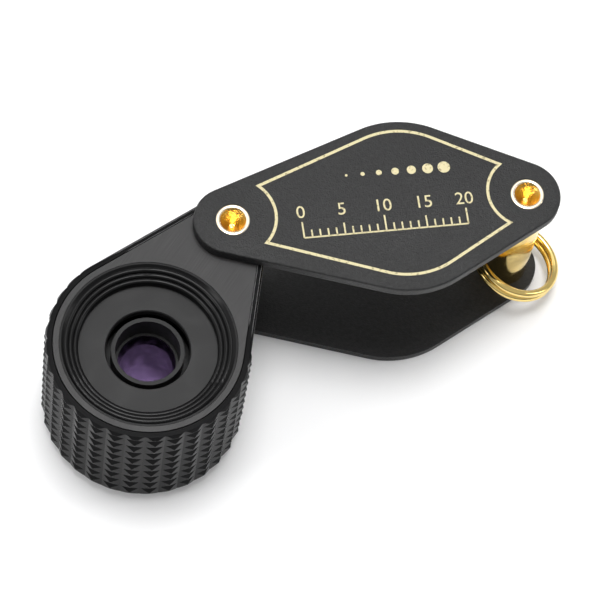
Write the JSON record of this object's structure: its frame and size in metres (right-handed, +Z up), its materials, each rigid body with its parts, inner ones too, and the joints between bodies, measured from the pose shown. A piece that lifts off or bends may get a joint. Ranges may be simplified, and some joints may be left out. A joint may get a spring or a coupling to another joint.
{
  "type": "folding loupe",
  "caption": "Folding pocket loupe: a knurled lens head that swings out of a flat two-cover case on a pivot post, with a split ring on the post at the other end.",
  "frame": {"origin": "middle of the lower cover's flat outer face, half way between the two posts", "axes": "+X from the pivot post to the ring post, +Z up through the covers towards the decorated cover, +Y completes a right-handed frame"},
  "size_m": [0.0666, 0.038, 0.0212],
  "materials": {
    "cover": "fine matt black powder coat on sheet steel",
    "post": "polished, gold coloured plating",
    "washer": "plain thin sheet",
    "head": "black anodised, knurled round end, brushed flanks",
    "face_plate": "black anodised, straight brushed grain",
    "trim_ring": "black, turned ridges, satin gloss",
    "stop_disc": "black, smooth, low gloss",
    "barrel": "black anodised, turned",
    "retainer": "black anodised, matt",
    "coated_lens": "polished, violet anti-reflection coating",
    "inner_lens": "polished, cemented face",
    "split_ring": "polished, gold coloured plating"
  },
  "bodies": {
    "case": {"lower_cover": "cover", "upper_cover": "cover", "pivot_post": "post", "ring_post": "post", "lower_friction_washer": "washer", "upper_friction_washer": "washer"},
    "lens_head": {"head_body": "head", "lower_face_plate": "face_plate", "upper_face_plate": "face_plate", "lower_trim_ring": "trim_ring", "upper_trim_ring": "trim_ring", "lower_stop_disc": "stop_disc", "upper_stop_disc": "stop_disc", "lens_barrel": "barrel", "lower_retainer_ring": "retainer", "upper_retainer_ring": "retainer", "lens_spacer": "retainer", "lower_crown_lens": "coated_lens", "upper_crown_lens": "coated_lens", "lower_flint_lens": "inner_lens", "upper_flint_lens": "inner_lens"},
    "ring": {"split_ring": "split_ring"}
  },
  "joints": [
    {"name": "lens_swing", "type": "hinge", "parent": "case", "child": "lens_head", "pos_m": [-0.018, 0, 0.01057], "axis": [0, 0, 1], "continuous": true},
    {"name": "ring_swivel", "type": "hinge", "parent": "case", "child": "ring", "pos_m": [0.018, 0, 0.00406], "axis": [0, 0, 1], "range_deg": [-15, 95]}
  ]
}
